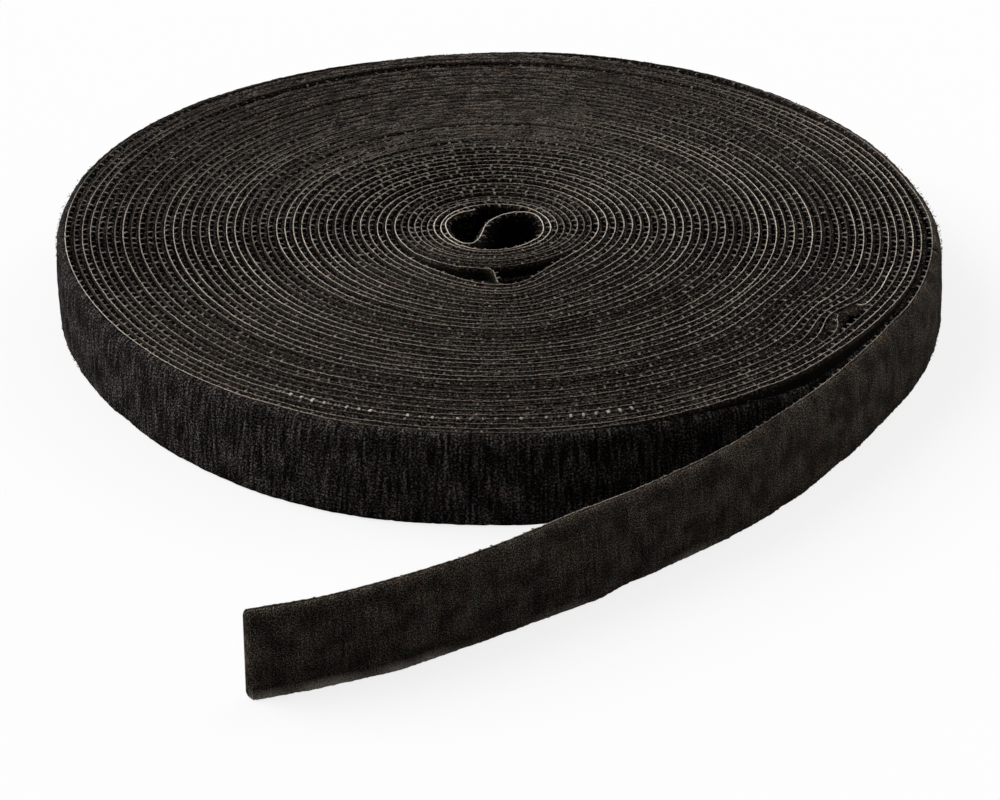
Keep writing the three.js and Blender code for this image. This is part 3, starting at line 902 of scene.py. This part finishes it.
def make_loops(name, rows, per_square_millimetre, sizes, seed, crowding=None, shades=YARN_SHADES):
    """Loops of yarn scattered over an open sheet that runs through the rows of points."""
    count, wide = rows.shape[:2]
    first = np.arange(count - 1)[:, None] * wide + np.arange(wide - 1)
    quads = np.stack([first, first + wide, first + wide + 1, first + 1], -1).reshape(-1, 4)
    mesh = bpy.data.meshes.new("sheet")
    mesh.from_pydata((rows.reshape(-1, 3) * MM).tolist(), [], quads.tolist())
    crowding = np.repeat(np.ones(count) if crowding is None else crowding, wide)
    mark(mesh, "crowding", crowding)
    return repeated(
        name, bpy.data.objects.new("sheet", mesh), yarn_nodes, yarn_sockets, Shape=loop_shape,
        Per_square_metre=per_square_millimetre / MM**2, Tilt=0.6, Spin=math.pi, Smallest=sizes[0],
        Largest=sizes[1], Dullest=shades[0], Brightest=shades[1], Seed=seed,
    )


def pile_face(strip, fullness, heights):
    """Rows of points on the outer face of the strip's pile."""
    return strip.ring([strip.pile * fullness] * len(heights), heights)


FUZZ_SIZES = (0.7, 2.0)
FUZZ_CROWDED, FUZZ_SPARSE = 2, 0.6


def make_edge_fuzz(name, strip, per_square_millimetre, seed):
    """Loops and threads that stand out between the cut edges of two wraps, on the hooks and the pile."""
    root = GROUND_THICKNESS / 2
    pile_top = strip.top - strip.pile_drop
    offsets = (root + strip.pile * 0.9, root, -root, -root - HOOK_LENGTH * 0.8)
    rows = strip.ring(offsets, (pile_top - 0.1, pile_top, strip.top - 0.45, strip.top - 0.75))
    crowding = 1 + FUZZ_CROWDED * strip.covered - FUZZ_SPARSE * strip.sunk
    return make_loops(name, rows, per_square_millimetre, FUZZ_SIZES, seed, crowding)


finish(make_edge_fuzz("inner_strip_edge_fuzz", inner_strip, 0.7, 31), "loop_fabric")
left_lobe = inner_strip.part(slice(0, len(fold_line) * 6 // 10))
lobe_rows = pile_face(left_lobe, 1.1, (6, 10, 14, 17.8))
finish(
    make_loops("inner_strip_bore_loops", lobe_rows, 1.6, (0.6, 1.5), 37, shades=(0.1, 0.9)), "loop_fabric"
)

# Middle length
# The longest, about twelve metres in nearly thirty-six wraps. Its inner end stands up as a stub in
# front of the bore and props the wraps that pass over it. Its outer end curls in at the right front.
STUB = ((0.6, -27.5), (0.1, -25.6), (-0.15, -23.8), (-0.4, -22.2), (-1.1, -21.1), (-2.3, -20.5))
CURLED_END = (
    polar(-20, 86.9), polar(-23.5, 86.55), polar(-25.5, 86.35), polar(-26.4, 85.9), polar(-26.6, 85.2),
)
MIDDLE_STEP = 1.1
STUB_WRAPS = 0.025
middle_turns, middle_wraps = wrap_points(INNER_SPLICE_WRAP + STUB_WRAPS, MIDDLE_END_WRAP, MIDDLE_STEP)
stub_line = smooth_line(STUB + (tuple(middle_turns[0]),), 0.5)
curl_line = smooth_line((tuple(middle_turns[-1]),) + CURLED_END, 0.6)
middle_strip = Strip(
    np.vstack([stub_line[:-1], middle_turns, curl_line[1:]]),
    np.concatenate(
        [
            np.full(len(stub_line) - 1, middle_wraps[0]), middle_wraps,
            np.full(len(curl_line) - 1, middle_wraps[-1]),
        ]
    ),
    seed=12,
)
# Beside the stub its loops are crushed, and in the dent nothing presses those of the wrap below
BESIDE_STUB_WRAP = 7.95
beside_stub = middle_strip.wraps < BESIDE_STUB_WRAP
middle_strip.pile_drop = np.where(beside_stub, CRUSHED_DROP, middle_strip.pile_drop)
UNPRESSED_WRAPS, UNPRESSED_PILE = (42.57, 42.6), 2.4
unpressed = (middle_strip.wraps > UNPRESSED_WRAPS[0]) & (middle_strip.wraps < UNPRESSED_WRAPS[1])
middle_strip.pile = middle_strip.pile + UNPRESSED_PILE * unpressed
# Behind the roll it lies a little away from the outer length
APART_WRAP, APART_WRAPS, APART_DROP = 43.23, 0.08, 1.0
behind = np.exp(-(((middle_strip.wraps - APART_WRAP) / APART_WRAPS) ** 2))
middle_strip.pile_drop = middle_strip.pile_drop + APART_DROP * behind
# On its curled-in end the painted highlight is brighter
CURL_HIGHLIGHT = 0.6
in_curl = np.arange(len(middle_strip.points)) > len(middle_strip.points) - len(curl_line)
middle_strip.edge_highlight = middle_strip.edge_highlight + CURL_HIGHLIGHT * in_curl
finish(make_ground("middle_strip_ground", middle_strip), "hook_ribbon", "middle_strip_hook_ribbon")
finish(make_pressed_pile("middle_strip_pile", middle_strip), "loop_fabric", "middle_strip_loop_fabric")
finish(make_hooks("middle_strip_top_hooks", middle_strip, TOP_ROW, hook_shape, 22), "hook_ribbon")
middle_hooks = make_hooks("middle_strip_bottom_hooks", middle_strip, BOTTOM_ROW, shaded_hook_shape, 42)
finish(middle_hooks, "hook_ribbon")
# The yarn that stands out of it, a piece for each stretch: from which wrap to which, and the seed
MIDDLE_FUZZ = (("inner", 0, 29, 32), ("middle", 29, 37.5, 52), ("outer", 37.5, 50, 62))
for name, from_wrap, to_wrap, seed in MIDDLE_FUZZ:
    span = slice(*np.searchsorted(middle_strip.wraps, (from_wrap, to_wrap)))
    fuzz = make_edge_fuzz(f"middle_strip_{name}_fuzz", middle_strip.part(span), 0.8, seed)
    finish(fuzz, "loop_fabric")

# Outer length
# The last four wraps. It starts bent into the dent at the right front and ends where the tail is
# peeled off, a whole wrap further on, so that its last wrap is the roll's outer wall.
BENT_START = (
    polar(-31.2, 83.4), polar(-32.6, 84.2), polar(-33.8, 85.4), polar(-35.5, 86.4), polar(-37.5, 86.9),
)
OUTER_STEP = 0.9
TAIL_START_WRAP = 47.52
outer_turns, outer_wraps = wrap_points(OUTER_START_WRAP, TAIL_START_WRAP, OUTER_STEP)
bent_line = smooth_line(BENT_START + (tuple(outer_turns[0]),), 0.6)
outer_strip = Strip(
    np.vstack([bent_line[:-1], outer_turns]),
    np.concatenate([np.full(len(bent_line) - 1, outer_wraps[0]), outer_wraps]), seed=13,
    free_from=PEEL_WRAP - 1,
)
# It has been pushed outwards at the foot of its front, by this much at these bearings
FOOT_BEARINGS = (-172, -142, -130, -118, -106, -94, -60, -25, 0)
FOOT_PUSH = (-0.1, 0.1, 0.9, 2.2, 3.1, 2.8, 1.6, 0.6, 0.3)
SIDE_PUSH, RIGHT_BACK_WRAP = 0.3, 47.02
last_wrap = outer_strip.wraps > PEEL_WRAP - 1
bearings = (bearing_of(outer_strip.wraps) + 180) % 360 - 180
push = np.interp(bearings, FOOT_BEARINGS, FOOT_PUSH, left=-SIDE_PUSH, right=SIDE_PUSH)
outer_strip.flare = last_wrap * push
right_back = (outer_strip.wraps > RIGHT_BACK_WRAP) & (bearings > 0)
outer_strip.flare = np.where(right_back, SIDE_PUSH, outer_strip.flare)
# In the wedge behind the tail its loops are crushed well below the cut edge
WEDGE_WRAP, WEDGE_WRAPS = 46.62, 0.055
in_wedge = np.exp(-(((outer_strip.wraps - WEDGE_WRAP) / WEDGE_WRAPS) ** 2))
outer_strip.pile_drop = outer_strip.pile_drop + CRUSHED_DROP * in_wedge
# At the left and right of the back it stands up above the cut edge: bearing, half width, millimetres
STANDS_UP = ((152, 30, 0.42), (30, 28, 0.32))
stands_up = sum(amount * hump(bearings, centre, width) for centre, width, amount in STANDS_UP)
outer_strip.pile_drop = outer_strip.pile_drop - last_wrap * stands_up
# Towards the peel its face turns to the tail's browner tones, which are painted lighter as well: painted
# light
TURNING_WRAP, TURNING_WRAPS = 47.36, 0.15
outer_strip.peeled_painted_lighter = np.clip((outer_strip.wraps - TURNING_WRAP) / TURNING_WRAPS, 0, 1)
# The painted highlight on its last cut edge is brighter at the left and dimmer in front, and on the one
# before it dimmer at the left
HIGHLIGHT_LEFT, DULLER_FRONT, DULLER_BEFORE, BEFORE_LAST_WRAP = 0.5, 0.15, 0.6, 45.6
before_last = (outer_strip.wraps > BEFORE_LAST_WRAP) & ~last_wrap
at_left, at_front = hump(bearings, 188, 45), hump(bearings, -92, 32)
edge_highlight = outer_strip.edge_highlight + HIGHLIGHT_LEFT * last_wrap * at_left - DULLER_FRONT * last_wrap * at_front
outer_strip.edge_highlight = np.clip(edge_highlight * (1 - DULLER_BEFORE * before_last * at_left), 0.02, 1.2)
finish(make_ground("outer_strip_ground", outer_strip), "hook_ribbon", "outer_strip_hook_ribbon")

# In the open its loops stand up full. Those on the roll's wall are black with grey upright streaks, and
# those of the peeled stretch browner, finer and plainer, and painted lighter to make up for the weaker
# light on the tail's face: painted light.
WALL_TUFT, TAIL_TUFT = 0.0004, 0.00027
WALL_STREAKS, TAIL_STREAKS = 0.3, 0.12
WALL_TONES = ((0.41, "#070606"), (0.46, "#161414"), (0.51, "#2e2b2b"), (0.56, "#504c4a"), (0.63, "#868180"))
TAIL_TONES_PAINTED_LIGHTER = ((0.42, "#18130f"), (0.47, "#302a25"), (0.51, "#443e37"), (0.56, "#625c54"), (0.62, "#948c83"))
free_cloth = pile_surface(
    "brushed nylon loop pile", WALL_TONES, WALL_STREAKS, WALL_TUFT,
    peeled_painted_lighter=(TAIL_TONES_PAINTED_LIGHTER, TAIL_STREAKS, TAIL_TUFT),
)
# The free pile's outer face, from its shoulder down to the floor: height share and thickness share
FREE_SECTION = (
    (0.99, 0.32), (0.97, 0.55), (0.94, 0.73), (0.9, 0.86), (0.84, 0.95), (0.76, 1.01), (0.65, 1.05),
    (0.53, 1.07), (0.4, 1.06), (0.29, 1.04), (0.19, 1.02), (0.11, 0.99), (0.05, 0.95), (0.012, 0.85),
)
FREE_RAGGED, FREE_UNEVEN, FREE_WAVE = 0.04, (0.06, 0.03), (3.5, 0.06)
# Where the foot has a rim, painted pale as painted light, it is drawn in above the rim, by this much at
# these height shares
RIM_HEIGHT = 1.3
RIM_SHARES, RIM_SPREAD = (0.012, 0.05, 0.11, 0.19, 0.3), (0.25, -0.8, -0.8, -0.5, 0.0)


def make_free_pile(name, strip):
    """The band of loops where nothing covers it: it stands up full and hangs over the lower edge."""
    top = strip.top - strip.pile_drop + strip.jitter(FREE_RAGGED)
    base = strip.base + 0.02
    offsets = [PILE_ROOT, PILE_ROOT]
    heights = [base, top]
    wave = strip.waver(*FREE_WAVE)
    for share, fullness in FREE_SECTION:
        spread = strip.rim * np.interp(share, RIM_SHARES, RIM_SPREAD)
        thickness = PILE_ROOT + strip.pile * fullness + spread
        offsets.append(thickness + wave * (1.5 - share) + strip.jitter(FREE_UNEVEN[0]))
        uneven = strip.jitter(FREE_UNEVEN[1]) * (0.1 < share < 0.9)
        heights.append(base + (top - base) * share + uneven)
    offsets.append(PILE_ROOT + strip.pile * 0.45)
    heights.append(base)
    rings = strip.ring(offsets, heights)
    steps = np.linalg.norm(np.diff(rings, axis=1), axis=2)
    up = np.cumsum(np.column_stack([np.zeros(len(rings)), steps]), axis=1)
    piece = sweep(name, rings, strip.along, free_cloth, up)
    heights = np.empty(len(piece.data.vertices) * 3, np.float32)
    piece.data.vertices.foreach_get("co", heights)
    low = np.clip((RIM_HEIGHT * MM - heights[2::3]) / (0.7 * RIM_HEIGHT * MM), 0, 1)
    mark(piece.data, "rim", np.repeat(strip.rim, len(offsets)) * low)
    mark(piece.data, "peeled_painted_lighter", np.repeat(strip.peeled_painted_lighter, len(offsets)))
    return piece


finish(
    make_free_pile("outer_strip_pile", outer_strip.part(last_wrap)), "loop_fabric", "outer_strip_loop_fabric"
)
finish(
    make_pressed_pile("outer_strip_inner_pile", outer_strip.part(~last_wrap)), "loop_fabric",
    "outer_strip_loop_fabric",
)

# Just past its start hooks lie over the cut edge. Their shine is painted on, brighter than the other hooks:
# a painted highlight.
PROUD_WRAPS = (43.7, 43.832)
proud_hook_shape = bent_stem(
    "proud hook", ((0, 0.5, 0.02), (0, 0.15, 0.14), (0, -0.2, 0.16), (0, -0.5, -0.05)),
    (0.4, 0.38, 0.3, 0.2), (0.16, 0.18, 0.16, 0.12), 4, hook_nylon, (1.0, 1.0, 0.9, 0.7),
)
proud = (outer_strip.wraps > PROUD_WRAPS[0]) & (outer_strip.wraps < PROUD_WRAPS[1])
HIGH_ROW = (0.02,)
proud_hooks = make_hooks(
    "outer_strip_proud_hooks", outer_strip.part(proud), HIGH_ROW, proud_hook_shape, 29, 0.3, 1.0
)
finish(proud_hooks, "hook_ribbon")
finish(make_hooks("outer_strip_top_hooks", outer_strip, TOP_ROW, hook_shape, 23), "hook_ribbon")
finish(make_hooks("outer_strip_bottom_hooks", outer_strip, BOTTOM_ROW, shaded_hook_shape, 43), "hook_ribbon")
finish(make_edge_fuzz("outer_strip_edge_fuzz", outer_strip.part(~last_wrap), 0.85, 33), "loop_fabric")
wall = outer_strip.part(last_wrap)
wall_rows = pile_face(wall, 1.05, (0.6, 4, 8, 12, 16, 18.2))
wall_crowding = 1 - in_wedge[last_wrap]
finish(make_loops("outer_strip_wall_loops", wall_rows, 0.75, (0.5, 1.1), 36, wall_crowding), "loop_fabric")

# Tail
# The free end of the outer length, peeled off the roll at the right front and run out to the left over
# the table, standing on its edge. Its end is cut square.
# Where its backing runs, in millimetres, from the peel to the end
TAIL = (
    (82.0, -46.3), (78.0, -53.8), (71.0, -65.8), (64.2, -75.9), (57.6, -84.4), (48.0, -96.2), (38.8, -105.8),
    (26.8, -116.0), (12.3, -127.4), (-4.7, -140.5), (-19.4, -149.7), (-33.8, -156.3), (-46.2, -160.3),
)
TAIL_STEP = 0.6
before_peel = wrap_points(TAIL_START_WRAP, PEEL_WRAP, 2.0)[0]
tail_line = smooth_line([tuple(p) for p in before_peel] + list(TAIL), TAIL_STEP)
end_line = np.linspace(tail_line[-4], tail_line[-1], 11)
tail_line = np.vstack([tail_line[:-4], end_line])
tail_strip = Strip(tail_line, np.full(len(tail_line), PEEL_WRAP), seed=14, free_from=PEEL_WRAP - 1)
# Its foot leans out from under its top edge, by this much at these places across the picture
LEAN_PLACES = (-46, -30, -20, -6, 3, 11, 17, 22, 34, 41, 48, 58, 66, 78, 84, 88)
LEAN = (0.4, 0.0, 0.5, 0.3, 0.9, 1.5, 2.1, 1.2, 0.9, 1.0, 1.9, 2.2, 1.5, 1.4, 1.2, 0.7)
tail_strip.flare = np.interp(tail_strip.points[:, 0], LEAN_PLACES, LEAN)
# The corners of its end are slightly rounded, and the pile thins out towards it and has no loops left. All
# of it stands a little lower than the roll.
CORNER, THIN_END, BARE_END, LOWER = 1.1, 1.6, 1.4, 0.25
from_end = tail_strip.along[-1] - tail_strip.along
rounding = CORNER - np.sqrt(np.clip(CORNER**2 - np.clip(CORNER - from_end, 0, None) ** 2, 0, None))
tail_strip.top = tail_strip.top - rounding - LOWER
tail_strip.base = tail_strip.base + rounding
tail_strip.pile = tail_strip.pile * (1 - 0.75 * np.clip(1 - from_end / THIN_END, 0, 1) ** 2)
clear_of_end = from_end > BARE_END
# Along the foot a pale rim is painted on, painted light, more at some places across the picture than at
# others
RIM_PLACES = (-46, -38, -30, -22, -13, -8, 0, 8, 14, 20, 30, 36, 42, 50)
RIM = (0.6, 0.95, 1.0, 0.9, 0.8, 0.25, 0.1, 0.4, 0.3, 0.0, 0.1, 0.5, 0.1, 0.0)
rim = np.interp(tail_strip.points[:, 0], RIM_PLACES, RIM)
tail_strip.peeled_painted_lighter = np.ones(len(tail_line))
tail_strip.rim = rim * np.clip(0.9 + tail_strip.waver(4, 0.3), 0, 1)


def finish_tail(piece, slot_name, *nodes):
    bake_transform(piece)
    if nodes:
        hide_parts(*nodes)


finish_tail(make_ground("tail_ground", tail_strip), "hook_ribbon", "tail_hook_ribbon")
finish_tail(make_free_pile("tail_pile", tail_strip), "loop_fabric", "tail_loop_fabric")
TAIL_TOP_ROW = (0.62,)
hooked = tail_strip.part(clear_of_end)
finish_tail(make_hooks("tail_top_hooks", hooked, TAIL_TOP_ROW, hook_shape, 24), "hook_ribbon")
finish_tail(make_hooks("tail_hooks", hooked, FULL_ROWS, shaded_hook_shape, 44), "hook_ribbon")
# Short loops all over its face
face_rows = pile_face(hooked, 1.05, (0.6, 4, 8, 12, 16, 18.4))
finish_tail(make_loops("tail_face_loops", face_rows, 1.2, (0.4, 0.9), 34), "loop_fabric")

# The single hooks and the loop that were repeated aren't part of the roll
for shape in (hook_shape, proud_hook_shape, shaded_hook_shape, loop_shape):
    bpy.data.objects.remove(shape)
